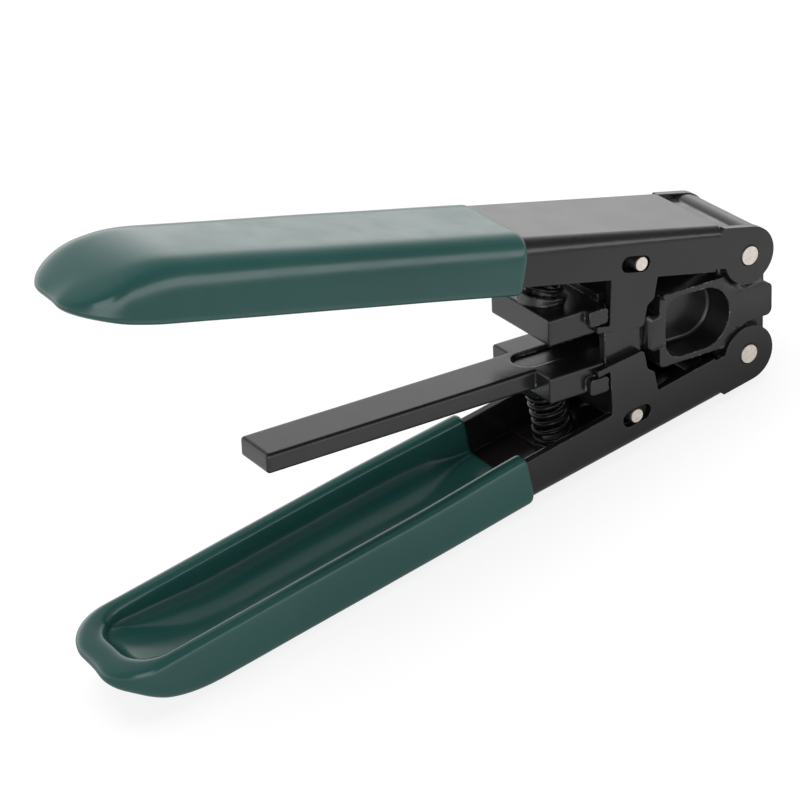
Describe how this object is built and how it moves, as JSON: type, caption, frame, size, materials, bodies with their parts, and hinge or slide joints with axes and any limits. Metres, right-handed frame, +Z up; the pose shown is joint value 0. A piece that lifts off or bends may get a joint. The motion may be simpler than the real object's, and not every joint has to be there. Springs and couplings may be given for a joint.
{
  "type": "fibre drop cable stripper",
  "caption": "Hand stripper for flat drop cable: sprung channel handles with dipped grips close parallel sliding jaws behind a pocketed head, with a gauge bar.",
  "frame": {"origin": "middle of the tool's box on the plane it rests on, under the flat outer face of the lower handle", "axes": "+X towards the nose along the lower handle, +Y across the tool, +Z up"},
  "size_m": [0.1512, 0.0242, 0.082],
  "materials": {
    "black_sheet": "satin black coating on pressed steel sheet",
    "black_casting": "satin black coating on cast metal",
    "grip_vinyl": "glossy dark green dipped vinyl",
    "bright_steel": "bare bright steel ends",
    "tool_steel": "ground hardened steel",
    "spring_steel": "blackened spring wire"
  },
  "bodies": {
    "head": {"front_body": "black_casting", "left_guide_plate": "black_casting", "right_guide_plate": "black_casting", "upper_pivot_rivet": "bright_steel", "lower_pivot_rivet": "bright_steel"},
    "upper_handle": {"upper_handle": "black_sheet", "upper_grip": "grip_vinyl", "upper_spring_seat": "black_sheet"},
    "upper_jaw": {"upper_jaw": "black_casting", "upper_jaw_pin": "bright_steel", "upper_blade": "tool_steel", "upper_blade_screws": "tool_steel", "upper_spring": "spring_steel"},
    "lower_handle": {"lower_handle": "black_sheet", "lower_grip": "grip_vinyl", "lower_spring_seat": "black_sheet"},
    "lower_jaw": {"lower_jaw": "black_casting", "lower_jaw_pin": "bright_steel", "lower_blade": "tool_steel", "lower_blade_screws": "tool_steel", "lower_spring": "spring_steel"}
  },
  "joints": [
    {"name": "upper_handle_hinge", "type": "hinge", "parent": "head", "child": "upper_handle", "pos_m": [0.06995, 0, 0.0267], "axis": [0, -1, 0], "range_deg": [0, 5.6], "stiffness_Nm_per_rad": 1.5, "springref_deg": -9.74, "deforming": ["upper_spring"]},
    {"name": "upper_jaw_slide", "type": "slide", "parent": "head", "child": "upper_jaw", "axis": [-0.1959, 0, -0.9806], "range_m": [0, 0.00254]},
    {"name": "lower_handle_hinge", "type": "hinge", "parent": "head", "child": "lower_handle", "pos_m": [0.06595, 0, 0.0067], "axis": [0, 1, 0], "range_deg": [0, 5.6], "stiffness_Nm_per_rad": 1.5, "springref_deg": -9.74, "deforming": ["lower_spring"]},
    {"name": "lower_jaw_slide", "type": "slide", "parent": "head", "child": "lower_jaw", "axis": [0.1959, 0, 0.9806], "range_m": [0, 0.00267]}
  ],
  "couplings": [
    {"joint": "upper_jaw_slide", "follows": "upper_handle_hinge", "m_per_rad": 0.025785},
    {"joint": "lower_jaw_slide", "follows": "lower_handle_hinge", "m_per_rad": 0.027115}
  ]
}
